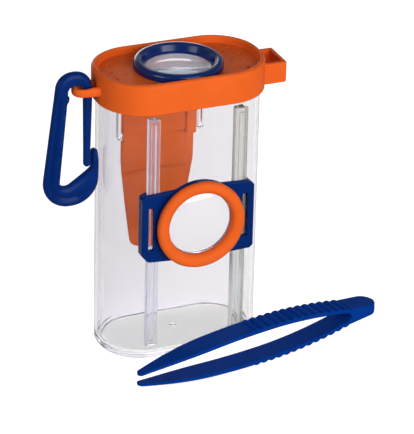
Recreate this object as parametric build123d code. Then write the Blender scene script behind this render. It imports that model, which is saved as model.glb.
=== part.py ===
"""Bug catcher jar: a clear jar with a lens lid, a sliding magnifier, a snap hook, a scoop and tweezers.

Millimetres. The origin is the middle of the jar's base, +Z is up, X runs along the jar's long side
and the front, with the sliding magnifier, faces -Y.
"""
import math
import os

from build123d import *

# Jar
JAR_LENGTH = 78.6
JAR_WIDTH = 45.2
JAR_END_FLAT = 2.1
JAR_HEIGHT = 138.4
JAR_WALL = 2.0
JAR_FLOOR = 2.2
JAR_BASE_ROUND = 1.2
JAR_INSIDE_ROUND = 3.0

# Rails on the front wall and guide ribs on the back wall
RAIL_X = 22.1
RAIL_WIDTH = 6.4
RAIL_HEIGHT = 3.5
RAIL_FLANGE = 1.6
RAIL_UNDERCUT = 1.1
RAIL_GROOVE_WIDTH = 2.4
RAIL_GROOVE_DEPTH = 1.6
RAIL_FOOT = 9.0
RAIL_CAP = 2.5
RAIL_ROUND = 0.5
GUIDE_X = 20.95
GUIDE_WIDTH = 3.0
GUIDE_DEPTH = 5.0
GUIDE_LENGTH = 31.0
GUIDE_GROOVE_DEPTH = 1.0
GUIDE_GROOVE_WIDTH = 2.0
GUIDE_LIP = 1.2
GUIDE_ROUND = 1.2
UNDER_SKIRT = 1.7

# Lid
LID_WALL = 1.9
LID_GAP = 0.3
LID_SEAT = 0.2
LID_OVERLAP = 9.7
LID_FLOOR = 2.0
TRAY_DEPTH = 3.4
RIM_WALL = 2.6
RIM_ROUND = 0.8
SKIRT_ROUND = 0.5
AIR_HOLE_R = 1.1
HOLE_MARGIN = 5.9
HOLE_ROW_PITCH = 6.2
INNER_HOLES = 3
INNER_HOLE_STEP = 19.5
OUTER_HOLES = 4
OUTER_HOLE_STEP = 14.5

# Eyelet and tweezers socket on the lid's ends
EYELET_REACH = 11.7
EYELET_BAR = 2.0
EYELET_PLAY = 0.9
EYELET_HEIGHT = 4.1
EYELET_RISE = 4.9
EYELET_CORNER = 3.4
EYELET_ROUND = 0.6
SOCKET_REACH = 9.8
SOCKET_HEIGHT = 9.8
SOCKET_WALL = 1.8
SOCKET_PLAY = 1.1
SOCKET_ROUND = 1.4

# Lenses, one pattern for the lid and the magnifier
LENS_EDGE = 1.6
LENS_DOME = 2.6
LENS_LIP = 1.0
LENS_LEDGE = 1.4
LENS_SEAT = 0.8
LENS_GAP = 0.15

# Lid bezel
BEZEL_MARGIN = 0.9
BEZEL_WALL = 4.1
BEZEL_HEIGHT = 4.2
BEZEL_FOOT = 1.0
BEZEL_CREST = 1.3

# Slider and magnifier ring
MAGNIFIER_Z = 72.5
SLIDER_HEIGHT = 37.0
SLIDER_END_HEIGHT = 32.4
SLIDER_PLATE = 2.0
SLIDER_END_WALL = 2.8
SLIDER_GAP = 0.3
SLIDER_FOLD = 1.5
SLOT_WIDTH = 2.4
SLOT_LENGTH = 21.5
BOSS_WALL = 2.2
BOSS_HEIGHT = 0.9
RING_ROLL = 2.6
RING_DEPTH = 4.6
RING_TAPER = 2.2

# Snap hook, drawn in X and Z from the middle of the eyelet's bar
HOOK_DEPTH = 5.0
HOOK_EDGE = 0.7
HOOK_PLAY = 0.55
HOOK_SWING_GAP = 0.85
HOOK_REST_GAP = 0.6
HOOK_BEND_ROUND = 2.8
HOOK_SPINE_TOP = 8.4
HOOK_SPINE_FOOT = 16.7
HOOK_SPINE_WIDTH = 7.2
HOOK_HEEL = 48.6
HOOK_HEEL_RUN = 10.4
HOOK_HEEL_ROUND = 6.0
HOOK_DROP = 59.2
HOOK_FLOOR = 48.0
HOOK_FLOOR_RUN = 4.6
HOOK_FLOOR_ROUND = 1.6
HOOK_TOE_IN = 2.9
HOOK_TOE_RUN = 7.3
HOOK_TOE_RISE = 9.6
HOOK_TOE_ROUND = 7.0
HOOK_NOSE_FOOT = 38.2
HOOK_NOSE_TIP = 30.2
HOOK_NOSE_LEAN = 1.2
HOOK_NOSE_WIDTH = 3.8
HOOK_NOSE_ROUND = 5.0
HOOK_TIP_ROUND = 0.9
GATE_X = 6.7
GATE_WIDTH = 4.2
GATE_FOOT_WIDTH = 3.0
GATE_DROP = 7.4
GATE_LENGTH = 31.6
GATE_TIP = 2.6
GATE_GAP = 0.3
GATE_NOSE_GAP = 0.6

# Scoop
SCOOP_GAP = 0.3
SCOOP_LENGTH = 92.4
SCOOP_SHOULDER = 16.0
SCOOP_FOOT_HALF = 12.4
SCOOP_WALL = 1.8
SCOOP_STANDOFF = 6.4
SCOOP_TROUGH = 2.6
SCOOP_LUG = 5.4
SCOOP_LUG_FOOT = 2.0
SCOOP_LUG_ROUND = 3.0
SCOOP_FOOT_ROUND = 6.0
SCOOP_WAIST_ROUND = 40.0

# Tweezers, drawn flat along X from the tips and then laid on the floor
TWEEZERS_X = -40.8
TWEEZERS_AWAY = 33.6
TWEEZERS_TURN = 13.0
TWEEZERS_WIDTH = 12.0
TWEEZERS_TIP_WIDTH = 4.0
TWEEZERS_TIP_TAPER = 22.0
TIP_HALF_GAP = 1.9
TIP_THICK = 1.4
BOW_HALF = 9.4
BOW_AT = 72.0
ARM_THICK = 2.2
ARM_LENGTH = 122.0
ROOT_HALF = 4.1
TIP_FLAT = 0.5
TAPER_ROUND = 30.0
TAIL_LENGTH = 17.0
TAIL_END_HALF = 2.25
TAIL_EDGE = 0.8
FLEX_GAP = 0.3
RIB_COUNT = 13
RIB_END = 2.5
RIB_PITCH = 4.5
RIB_R = 1.35
RIB_HEIGHT = 0.7

# Places and sizes that follow from those above
FRONT = -JAR_WIDTH / 2
BACK = JAR_WIDTH / 2
JAR_CORNER = JAR_WIDTH / 2 - JAR_END_FLAT
SKIRT_Z = JAR_HEIGHT - LID_OVERLAP
LID_UNDER = JAR_HEIGHT + LID_SEAT
TRAY_Z = LID_UNDER + LID_FLOOR
LID_TOP = TRAY_Z + TRAY_DEPTH
LID_MARGIN = LID_GAP + LID_WALL
LID_END = JAR_LENGTH / 2 + LID_MARGIN
RAIL_TOP = SKIRT_Z - UNDER_SKIRT
GUIDE_FOOT = RAIL_TOP - GUIDE_LENGTH
BEZEL_R = JAR_WIDTH / 2 + LID_MARGIN - RIM_WALL - BEZEL_MARGIN
LENS_R = BEZEL_R - BEZEL_WALL
LIP_R = LENS_R - LENS_LIP
BOSS_R = LENS_R + BOSS_WALL
EYELET_WIDTH = HOOK_DEPTH + 2 * (EYELET_PLAY + EYELET_BAR)
BAR_X = -(LID_END + EYELET_REACH - EYELET_BAR / 2)
BAR_Z = SKIRT_Z + EYELET_RISE + EYELET_HEIGHT / 2
HOOK_NOSE_X = -BAR_X - JAR_LENGTH / 2 - HOOK_REST_GAP
PLATE_BACK = FRONT - RAIL_HEIGHT - SLIDER_GAP
PLATE_FRONT = PLATE_BACK - SLIDER_PLATE
SLIDER_WALL = RAIL_X + RAIL_WIDTH / 2 + SLIDER_GAP
CUT = 1.0


def slab(margin, low, high):
    """The jar's rounded outline grown by margin, from one height to another."""
    outline = RectangleRounded(JAR_LENGTH + 2 * margin, JAR_WIDTH + 2 * margin, JAR_CORNER + margin)
    return extrude(Pos(0, 0, low) * outline, high - low)


def block(x, y, z):
    """A box given by its three ranges."""
    size = Box(x[1] - x[0], y[1] - y[0], z[1] - z[0])
    return Pos((x[0] + x[1]) / 2, (y[0] + y[1]) / 2, (z[0] + z[1]) / 2) * size


def both_sides(half):
    """A piece and its mirror image across the middle of the jar."""
    return half + mirror(half, about=Plane.YZ)


def rounded(corners):
    """A face whose outline runs through corner points, each with its own radius."""
    points, radii = zip(*corners)
    return make_face(FilletPolyline(*points, radius=list(radii), close=True))


def turned(profile):
    """A solid of revolution about Z from a closed outline in the X-Z plane."""
    return revolve(Plane.XZ * make_face(profile), Axis.Z, 360)


def front_rail():
    """Channel rail at +X: a web, a wider flange that the slider hooks behind, and a stopped groove."""
    half = RAIL_WIDTH / 2
    outer_face = FRONT - RAIL_HEIGHT
    web_x = (RAIL_X - half, RAIL_X + half - RAIL_UNDERCUT)
    web = block(web_x, (outer_face + RAIL_ROUND, 0), (RAIL_FOOT, RAIL_TOP))
    flange = RectangleRounded(RAIL_WIDTH, RAIL_FLANGE, RAIL_ROUND)
    flange = Pos(RAIL_X, outer_face + RAIL_FLANGE / 2, RAIL_FOOT) * flange
    groove_x = (RAIL_X - RAIL_GROOVE_WIDTH / 2, RAIL_X + RAIL_GROOVE_WIDTH / 2)
    groove_y = (outer_face - CUT, outer_face + RAIL_GROOVE_DEPTH)
    groove = block(groove_x, groove_y, (RAIL_FOOT + RAIL_CAP, RAIL_TOP - RAIL_CAP))
    return web + extrude(flange, RAIL_TOP - RAIL_FOOT) - groove


def back_guide():
    """Guide rib at +X with a groove in its inner face and a rounded lower end."""
    x = (GUIDE_X - GUIDE_WIDTH / 2, GUIDE_X + GUIDE_WIDTH / 2)
    rib = block(x, (0, BACK + GUIDE_DEPTH), (GUIDE_FOOT, RAIL_TOP))
    rib = fillet(rib.edges().filter_by(Axis.X).group_by(Axis.Z)[0].group_by(Axis.Y)[-1], GUIDE_ROUND)
    groove_y = (BACK + GUIDE_DEPTH - GUIDE_LIP - GUIDE_GROOVE_WIDTH, BACK + GUIDE_DEPTH - GUIDE_LIP)
    return rib - block((x[0] - CUT, x[0] + GUIDE_GROOVE_DEPTH), groove_y, (GUIDE_FOOT - CUT, RAIL_TOP + CUT))


def jar():
    """Open-topped shell with a rounded base edge, its two rails and its two guides."""
    outside = slab(0, 0, JAR_HEIGHT)
    outside = fillet(outside.edges().group_by(Axis.Z)[0], JAR_BASE_ROUND)
    inside = slab(-JAR_WALL, JAR_FLOOR, JAR_HEIGHT + CUT)
    inside = fillet(inside.edges().group_by(Axis.Z)[0], JAR_INSIDE_ROUND)
    return outside + both_sides(front_rail()) + both_sides(back_guide()) - inside


def eyelet():
    """Flat loop at the lid's -X end, rounded at its outer corners and along its rims."""
    reach = LID_END + EYELET_REACH
    height = EYELET_HEIGHT
    loop = RectangleRounded(2 * reach, EYELET_WIDTH, EYELET_CORNER)
    loop = extrude(Pos(0, 0, BAR_Z - height / 2) * loop, height)
    loop = fillet(loop.edges().group_by(Axis.Z)[0] + loop.edges().group_by(Axis.Z)[-1], EYELET_ROUND)
    hole_width = EYELET_WIDTH - 2 * EYELET_BAR
    hole = RectangleRounded(2 * (reach - EYELET_BAR), hole_width, EYELET_CORNER - EYELET_BAR)
    hole = extrude(Pos(0, 0, BAR_Z - height) * hole, 2 * height)
    keep = block((-reach - CUT, -LID_END), (-EYELET_WIDTH, EYELET_WIDTH), (SKIRT_Z, LID_TOP))
    root = block((-LID_END - CUT, -JAR_LENGTH / 2), (-EYELET_WIDTH / 2, EYELET_WIDTH / 2),
                 (BAR_Z - height / 2 + EYELET_ROUND, BAR_Z + height / 2 - EYELET_ROUND))
    return ((loop - hole) & keep) + (root - hole)


def socket():
    """Walls of the open sleeve at the lid's +X end."""
    x = (0, LID_END + SOCKET_REACH)
    inner = TWEEZERS_WIDTH / 2 + SOCKET_PLAY
    outer = inner + SOCKET_WALL
    walls = block(x, (-outer, outer), (SKIRT_Z, SKIRT_Z + SOCKET_HEIGHT))
    walls = fillet(walls.edges().filter_by(Axis.Z).group_by(Axis.X)[-1], SOCKET_ROUND)
    return walls - block((LID_END, x[1] - SOCKET_WALL), (-inner, inner), (SKIRT_Z - CUT, LID_TOP))


def air_holes():
    """Two arcs of drilled holes at each end of the tray."""
    drill = Pos(0, 0, TRAY_Z - LID_FLOOR / 2) * Cylinder(AIR_HOLE_R, LID_FLOOR + 2 * CUT)
    holes = []
    outer_arc = LID_END - RIM_WALL - HOLE_MARGIN
    inner_arc = outer_arc - HOLE_ROW_PITCH
    rows = ((INNER_HOLES, inner_arc, INNER_HOLE_STEP), (OUTER_HOLES, outer_arc, OUTER_HOLE_STEP))
    for count, arc, step in rows:
        for i in range(count):
            angle = (i - (count - 1) / 2) * step
            for end in (0, 180):
                holes.append(Rot(0, 0, angle + end) * Pos(arc, 0, 0) * drill)
    return holes


def lid():
    """Cap with a sunk tray, a lens seat, air holes, the eyelet and the socket."""
    body = slab(LID_MARGIN, SKIRT_Z, LID_TOP) - slab(LID_MARGIN - RIM_WALL, TRAY_Z, LID_TOP + CUT)
    body = fillet(body.edges().group_by(Axis.Z)[-1], RIM_ROUND)
    body = fillet(body.edges().group_by(Axis.Z)[0], SKIRT_ROUND)
    body = body + eyelet() + socket() - slab(LID_GAP, SKIRT_Z - CUT, LID_UNDER)
    body -= Pos(0, 0, TRAY_Z - LID_FLOOR / 2) * Cylinder(LENS_R - LENS_LEDGE, LID_FLOOR + 2 * CUT)
    body -= Pos(0, 0, TRAY_Z) * Cylinder(LENS_R + LENS_GAP, 2 * LENS_SEAT)
    return body - air_holes()


def lens():
    """Flat-backed lens with a plain flange and a domed face, its back at Z = 0."""
    crown = (0, LENS_EDGE + LENS_DOME)
    shoulder = (LIP_R - 2 * LENS_GAP, LENS_EDGE)
    sides = Polyline(crown, (0, 0), (LENS_R, 0), (LENS_R, LENS_EDGE), shoulder)
    return turned(sides + TangentArc(crown, shoulder, tangent=(1, 0)))


def lid_bezel():
    """Low rounded ring on the tray whose inner lip sits on the lens flange."""
    seat = LENS_EDGE - LENS_SEAT
    recess = LENS_R + LENS_GAP
    crest = (LIP_R + BEZEL_CREST, BEZEL_HEIGHT)
    rim = (BEZEL_R, BEZEL_FOOT)
    foot = Polyline(rim, (BEZEL_R, 0), (recess, 0), (recess, seat), (LIP_R, seat), crest)
    return Pos(0, 0, TRAY_Z) * turned(foot + TangentArc(rim, crest, tangent=(0, 1)))


def on_front(piece):
    """Turn a piece made about Z so that it faces -Y on the front of the slider plate."""
    return Pos(0, PLATE_FRONT, MAGNIFIER_Z) * Rot(90, 0, 0) * piece


def slider():
    """Plate whose ends fold back round the rails, with a lens boss, an aperture and two slots."""
    end = SLIDER_WALL + SLIDER_END_WALL
    hook = SLIDER_WALL - RAIL_UNDERCUT
    hook_front = FRONT - RAIL_HEIGHT + RAIL_FLANGE + SLIDER_GAP
    hook_back = FRONT - SLIDER_GAP
    half = [(0, PLATE_BACK), (0, PLATE_FRONT), (end, PLATE_FRONT), (end, hook_back), (hook, hook_back),
            (hook, hook_front), (SLIDER_WALL, hook_front), (SLIDER_WALL, PLATE_BACK)]
    plan = make_face(Polyline(*half, close=True))
    corners = plan.vertices().sort_by(Axis.X)[-2:].sort_by(Axis.Y)[:1]
    plan = fillet(corners, SLIDER_FOLD)
    folded = both_sides(extrude(Pos(0, 0, MAGNIFIER_Z - SLIDER_HEIGHT / 2) * plan, SLIDER_HEIGHT))
    low, mid = SLIDER_END_HEIGHT / 2, SLIDER_HEIGHT / 2
    top = ThreePointArc((-end, low), (0, mid), (end, low))
    bottom = ThreePointArc((-end, -low), (0, -mid), (end, -low))
    outline = make_face(top + bottom + Line((-end, low), (-end, -low)) + Line((end, low), (end, -low)))
    face = Pos(0, 0, MAGNIFIER_Z) * Rot(90, 0, 0) * outline
    plate = folded & extrude(face, JAR_WIDTH, both=True)
    disc = Cylinder(BOSS_R, BOSS_HEIGHT + SLIDER_PLATE)
    disc = on_front(Pos(0, 0, (BOSS_HEIGHT - SLIDER_PLATE) / 2) * disc)
    aperture = on_front(Cylinder(LENS_R - LENS_LEDGE, 2 * (SLIDER_PLATE + BOSS_HEIGHT)))
    slot = Box(SLOT_WIDTH, 2 * SLIDER_PLATE, SLOT_LENGTH)
    slot_x = SLIDER_WALL - SLOT_WIDTH / 2
    slots = [Pos(x, PLATE_FRONT, MAGNIFIER_Z) * slot for x in (-slot_x, slot_x)]
    return plate + disc - aperture - slots


def magnifier_ring():
    """Rounded ring on the boss, with a tapered mouth down to the lip on the lens flange."""
    back = BOSS_HEIGHT
    seat = BOSS_HEIGHT + LENS_EDGE
    front = BOSS_HEIGHT + RING_DEPTH
    recess = LENS_R + LENS_GAP
    rim = (BOSS_R + RING_ROLL, back + RING_DEPTH / 2)
    heel = (BOSS_R, back)
    mouth = (LIP_R + RING_TAPER, front)
    brow = (LIP_R + RING_TAPER + RING_DEPTH / 4, front)
    inside = Polyline(heel, (recess, back), (recess, seat), (LIP_R, seat), mouth, brow)
    outside = TangentArc(rim, heel, tangent=(0, -1)) + TangentArc(rim, brow, tangent=(0, 1))
    return on_front(turned(inside + outside))


def on_bar(outline, depth):
    """Extrude an outline drawn in X and Z from the eyelet's bar, centred on the jar's middle plane."""
    return Pos(BAR_X, 0, BAR_Z) * Rot(90, 0, 0) * extrude(outline, depth / 2, both=True)


def carabiner():
    """Snap hook without its gate: crown round the bar, leaning spine, rounded heel and pointed nose."""
    gate_out = GATE_X + GATE_WIDTH / 2
    gate_in = GATE_X - GATE_WIDTH / 2
    spine_in = -HOOK_SPINE_FOOT + HOOK_SPINE_WIDTH
    toe_x = HOOK_NOSE_X - HOOK_TOE_IN
    nose_in = HOOK_NOSE_X - HOOK_NOSE_WIDTH
    crown = EYELET_REACH - EYELET_BAR / 2 - HOOK_SWING_GAP
    shoulder = (gate_out + HOOK_SPINE_TOP) / 2
    bend = EYELET_HEIGHT / 2 + HOOK_PLAY
    corners = [
        ((gate_out, -GATE_DROP), HOOK_EDGE),
        ((gate_out, crown), shoulder),
        ((-HOOK_SPINE_TOP, crown), shoulder),
        ((-HOOK_SPINE_FOOT, -HOOK_HEEL), HOOK_HEEL_ROUND),
        ((-HOOK_SPINE_FOOT + HOOK_HEEL_RUN, -HOOK_DROP), HOOK_HEEL_ROUND),
        ((toe_x - HOOK_TOE_RUN, -HOOK_DROP), HOOK_TOE_ROUND),
        ((toe_x, -HOOK_DROP + HOOK_TOE_RISE), HOOK_TOE_ROUND),
        ((HOOK_NOSE_X, -HOOK_NOSE_FOOT), HOOK_NOSE_ROUND),
        ((HOOK_NOSE_X - HOOK_NOSE_LEAN, -HOOK_NOSE_TIP), HOOK_TIP_ROUND),
        ((nose_in, -HOOK_NOSE_FOOT), HOOK_FLOOR_ROUND),
        ((spine_in + HOOK_FLOOR_RUN, -HOOK_FLOOR), HOOK_FLOOR_ROUND),
        ((spine_in, -HOOK_FLOOR), HOOK_FLOOR_ROUND),
        ((-bend, -bend), HOOK_FLOOR_ROUND),
        ((-bend, bend), HOOK_BEND_ROUND),
        ((gate_in, bend), HOOK_BEND_ROUND),
        ((gate_in, -GATE_DROP), HOOK_EDGE),
    ]
    body = on_bar(rounded(corners), HOOK_DEPTH)
    body = fillet(body.faces().filter_by(Axis.Y).edges(), HOOK_EDGE)
    return body - on_bar(Pos(GATE_X, -GATE_DROP) * Circle(GATE_WIDTH / 2 + GATE_GAP), HOOK_DEPTH + CUT)


def carabiner_gate():
    """Straight gate with a round root in the hook's saddle and a tip that rests inside the nose."""
    half = GATE_WIDTH / 2
    foot = -GATE_DROP - GATE_LENGTH
    nose_in = HOOK_NOSE_X - HOOK_NOSE_WIDTH - GATE_NOSE_GAP
    tip_in = HOOK_NOSE_X - HOOK_NOSE_LEAN - 2 * HOOK_TIP_ROUND - GATE_NOSE_GAP
    sides = Polyline((GATE_X - half, -GATE_DROP), (nose_in - GATE_FOOT_WIDTH, foot + GATE_TIP),
                     (nose_in - GATE_FOOT_WIDTH / 2, foot), (nose_in, -HOOK_NOSE_FOOT),
                     (tip_in, -HOOK_NOSE_TIP), (GATE_X + half, -GATE_DROP), close=True)
    blade = make_face(sides) + Pos(GATE_X, -GATE_DROP) * Circle(half)
    return on_bar(blade, HOOK_DEPTH - 2 * HOOK_EDGE)


def scoop():
    """Shallow trough that tapers to a round end, with lugs whose tongues run in the back guides."""
    half = GUIDE_X - GUIDE_WIDTH / 2 - SCOOP_GAP
    foot = RAIL_TOP - SCOOP_LENGTH
    edge = BACK + SCOOP_STANDOFF - SCOOP_TROUGH
    radius = (half ** 2 + SCOOP_TROUGH ** 2) / (2 * SCOOP_TROUGH)
    section = Circle(radius + SCOOP_WALL) - Circle(radius)
    section = Pos(0, BACK + SCOOP_STANDOFF - radius, foot - CUT) * section
    shell = extrude(section, SCOOP_LENGTH + 2 * CUT)
    lug_y = (BACK + SCOOP_GAP, edge + SCOOP_WALL - SCOOP_GAP)
    lug = block((half - SCOOP_LUG, half + CUT), lug_y, (GUIDE_FOOT - SCOOP_LUG_FOOT, RAIL_TOP + CUT))
    corners = [((half, RAIL_TOP), SCOOP_LUG_ROUND), ((half, GUIDE_FOOT - SCOOP_SHOULDER), SCOOP_WAIST_ROUND),
               ((SCOOP_FOOT_HALF, foot), SCOOP_FOOT_ROUND)]
    corners += [((-x, z), turn) for (x, z), turn in reversed(corners)]
    outline = extrude(Pos(0, BACK, 0) * Rot(90, 0, 0) * rounded(corners), -JAR_WIDTH)
    blade = (shell + both_sides(lug)) & outline
    tongue_x = (half - SCOOP_LUG / 2, half + GUIDE_GROOVE_DEPTH)
    tongue_back = BACK + GUIDE_DEPTH - GUIDE_LIP - SCOOP_GAP
    tongue_y = (tongue_back - GUIDE_GROOVE_WIDTH + 2 * SCOOP_GAP, tongue_back)
    tongue = block(tongue_x, tongue_y, (GUIDE_FOOT + SCOOP_LUG_ROUND, RAIL_TOP - SCOOP_LUG_ROUND))
    return blade + both_sides(tongue)


def bow(along):
    """Half height of the tweezers' outer face at a distance from the tips: two arcs that meet at the bow."""
    if along > BOW_AT:
        reach, drop = ARM_LENGTH - BOW_AT, BOW_HALF - ROOT_HALF
    else:
        reach, drop = BOW_AT, BOW_HALF - TIP_HALF_GAP - TIP_THICK
    radius = (reach ** 2 + drop ** 2) / (2 * drop)
    return BOW_HALF - radius + math.sqrt(radius ** 2 - (along - BOW_AT) ** 2)


def upright(face):
    """Extrude an outline drawn in X and Z across the tweezers' width."""
    return extrude(Rot(90, 0, 0) * face, TWEEZERS_WIDTH / 2, both=True)


def laid(piece):
    """Lay a piece of the tweezers on the floor in front of the jar."""
    return Pos(TWEEZERS_X, FRONT - TWEEZERS_AWAY, BOW_HALF + RIB_HEIGHT) * Rot(0, 0, TWEEZERS_TURN) * piece


def tweezers_arm():
    """Upper arm about the tweezers' middle plane: a bowed strip with cross ribs and a tapered tip."""
    crest = (BOW_AT, BOW_HALF)
    under = (BOW_AT, BOW_HALF - ARM_THICK)
    tip = (0, TIP_HALF_GAP + TIP_THICK)
    root = (ARM_LENGTH, ROOT_HALF)
    outer = TangentArc(crest, tip, tangent=(-1, 0)) + TangentArc(crest, root, tangent=(1, 0))
    inner_tip = (0, TIP_HALF_GAP)
    inner_root = (ARM_LENGTH, ROOT_HALF - ARM_THICK)
    inner = TangentArc(under, inner_tip, tangent=(-1, 0)) + TangentArc(under, inner_root, tangent=(1, 0))
    strip = upright(make_face(outer + inner + Line(tip, inner_tip) + Line(root, inner_root)))
    rib = Rot(90, 0, 0) * Cylinder(RIB_R, TWEEZERS_WIDTH)
    for i in range(RIB_COUNT):
        along = ARM_LENGTH - RIB_END - i * RIB_PITCH
        strip += Pos(along, 0, bow(along) + RIB_HEIGHT - RIB_R) * rib
    half, tip_half = TWEEZERS_WIDTH / 2, TWEEZERS_TIP_WIDTH / 2
    corners = [((0, tip_half), tip_half - TIP_FLAT), ((TWEEZERS_TIP_TAPER, half), TAPER_ROUND),
               ((ARM_LENGTH, half), FLEX_GAP)]
    corners += [((x, -y), radius) for (x, y), radius in reversed(corners)]
    return strip & extrude(rounded(corners), 2 * BOW_HALF)


def tweezers_tail():
    """Wedge that joins the arms' roots and ends in a rounded tail."""
    start = ARM_LENGTH + FLEX_GAP
    end = start + TAIL_LENGTH
    top = [(start, ROOT_HALF), (end, TAIL_END_HALF)]
    bottom = [(x, -z) for x, z in reversed(top)]
    wedge = upright(make_face(Polyline(*top, *bottom, close=True)))
    wedge = fillet(wedge.edges().filter_by(Axis.Z).group_by(Axis.X)[-1], TWEEZERS_WIDTH / 2 - TIP_FLAT)
    rims = wedge.faces().sort_by(Axis.Z)
    return fillet(rims[0].edges().group_by(Axis.X)[1:] + rims[-1].edges().group_by(Axis.X)[1:], TAIL_EDGE)


ARM = tweezers_arm()
PIECES = {
    "jar": jar(),
    "lid": lid(),
    "lid_lens": Pos(0, 0, TRAY_Z - LENS_SEAT) * lens(),
    "lid_bezel": lid_bezel(),
    "slider": slider(),
    "magnifier_ring": magnifier_ring(),
    "magnifier_lens": on_front(Pos(0, 0, BOSS_HEIGHT) * lens()),
    "carabiner": carabiner(),
    "carabiner_gate": carabiner_gate(),
    "scoop": scoop(),
    "tweezers_upper_arm": laid(ARM),
    "tweezers_lower_arm": laid(mirror(ARM, about=Plane.XY)),
    "tweezers_tail": laid(tweezers_tail()),
}

os.makedirs("parts", exist_ok=True)
for name, piece in PIECES.items():
    export_step(piece, f"parts/{name}.step")
    print(name, len(piece.solids()), round(piece.volume, 1), piece.is_valid)
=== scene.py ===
"""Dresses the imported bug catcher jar: a clear jar with a lens lid, a sliding magnifier, a snap hook,
a scoop and springy tweezers. Sizes are in millimetres and become metres when a mesh is made.
"""

import bmesh
import bpy
import numpy as np
from mathutils import Matrix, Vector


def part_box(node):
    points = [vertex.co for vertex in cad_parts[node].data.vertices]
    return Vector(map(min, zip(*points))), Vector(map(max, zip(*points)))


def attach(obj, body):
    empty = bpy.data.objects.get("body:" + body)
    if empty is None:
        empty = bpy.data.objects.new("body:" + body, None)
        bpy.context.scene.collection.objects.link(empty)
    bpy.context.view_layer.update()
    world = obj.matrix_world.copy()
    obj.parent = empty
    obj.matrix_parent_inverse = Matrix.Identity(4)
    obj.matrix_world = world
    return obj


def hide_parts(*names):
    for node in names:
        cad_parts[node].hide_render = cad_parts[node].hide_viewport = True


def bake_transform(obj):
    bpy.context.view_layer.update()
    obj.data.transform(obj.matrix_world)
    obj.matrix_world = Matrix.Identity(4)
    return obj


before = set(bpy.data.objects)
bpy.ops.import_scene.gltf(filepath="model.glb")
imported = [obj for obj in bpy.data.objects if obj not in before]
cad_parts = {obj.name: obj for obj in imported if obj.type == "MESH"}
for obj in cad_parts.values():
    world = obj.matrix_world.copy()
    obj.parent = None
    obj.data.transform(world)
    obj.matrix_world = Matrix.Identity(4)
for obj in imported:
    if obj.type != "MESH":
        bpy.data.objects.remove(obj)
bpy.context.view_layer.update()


# Jar: one clear polystyrene moulding, a tall shell of rounded plan with a flat floor. Two channelled
# rails for the magnifier stand on its front wall and two short ribs for the scoop on its back wall.
MM = 0.001
TINY = 1e-6
JAR_LENGTH = (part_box("jar")[1].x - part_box("jar")[0].x) / MM
JAR_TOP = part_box("jar")[1].z / MM
JAR_WIDTH = 45.2
JAR_CORNER = 20.5
JAR_WALL = 2.0
JAR_FLOOR = 2.2
FRONT = -JAR_WIDTH / 2
BACK = JAR_WIDTH / 2


def arc_angles(steps, quarter):
    """Evenly spaced angles of one quarter turn, counted from +X."""
    return (quarter + np.linspace(0, 1, steps + 1)) * np.pi / 2


def rounded_plan(half_x, half_y, radius, steps=16):
    """Corner centres and unit directions of a rounded rectangle: a point is centre + radius * direction."""
    signs = np.array([(1, 1), (-1, 1), (-1, -1), (1, -1)])
    centres = np.repeat(signs * (half_x - radius, half_y - radius), steps + 1, axis=0)
    turns = np.concatenate([arc_angles(steps, quarter) for quarter in range(4)])
    return centres, np.stack([np.cos(turns), np.sin(turns)], axis=1)


def rounded_line(corners, closed=False, steps=6):
    """Corners (x, y, radius) become arcs tangent to both neighbours.
    An arc's centre is corner + bisector * radius / sin(half the angle). The ends of an open line stay points.
    """
    corners = np.array(corners, float)
    at, radius = corners[:, :2], corners[:, 2:]
    to_last = np.roll(at, 1, axis=0) - at
    to_next = np.roll(at, -1, axis=0) - at
    to_last /= np.linalg.norm(to_last, axis=1, keepdims=True)
    to_next /= np.linalg.norm(to_next, axis=1, keepdims=True)
    bisector = to_last + to_next
    length = np.linalg.norm(bisector, axis=1, keepdims=True)
    bisector = np.divide(bisector, length, out=np.zeros_like(bisector), where=length > TINY)
    half = np.arccos(np.clip(np.sum(to_last * bisector, axis=1, keepdims=True), -1, 1))
    reach = radius / np.tan(half)
    centre = at + bisector * radius / np.sin(half)
    start = at + to_last * reach - centre
    end = at + to_next * reach - centre
    first = np.arctan2(start[:, 1], start[:, 0])
    turned = start[:, 0] * end[:, 1] - start[:, 1] * end[:, 0]
    sweep = np.arctan2(turned, np.sum(start * end, axis=1))
    angle = first[:, None] + sweep[:, None] * np.linspace(0, 1, steps + 1)
    arcs = centre[:, None] + radius[:, None] * np.stack([np.cos(angle), np.sin(angle)], axis=2)
    if not closed:
        arcs[[0, -1]] = at[[0, -1], None]
    return arcs.reshape(-1, 2)


def skin(rings, looped=False, capped=True):
    """Surface over rings of equal length: quads between neighbours and a fan to the middle of each end ring.
    A looped surface joins its last ring to its first, and one that isn't capped leaves its ends open.
    """
    rings = np.asarray(rings, float)
    count, size = rings.shape[:2]
    ring = np.arange(count if looped else count - 1)[:, None] * size
    above = (ring + size) % (count * size)
    step = np.arange(size)
    turn = (step + 1) % size
    quads = np.stack([ring + step, ring + turn, above + turn, above + step], axis=2)
    quads = quads.reshape(-1, 4).tolist()
    points = rings.reshape(-1, 3)
    if looped or not capped:
        return points, quads
    last = (count - 1) * size
    middles = rings[[0, -1]].mean(axis=1)
    floor = np.stack([step, turn, np.full(size, len(points))], axis=1)
    roof = np.stack([last + step, last + turn, np.full(size, len(points) + 1)], axis=1)
    return np.concatenate([points, middles]), quads + floor.tolist() + roof.tolist()


WELD = 0.002 * MM
SLIVER = 0.001 * MM


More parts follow.
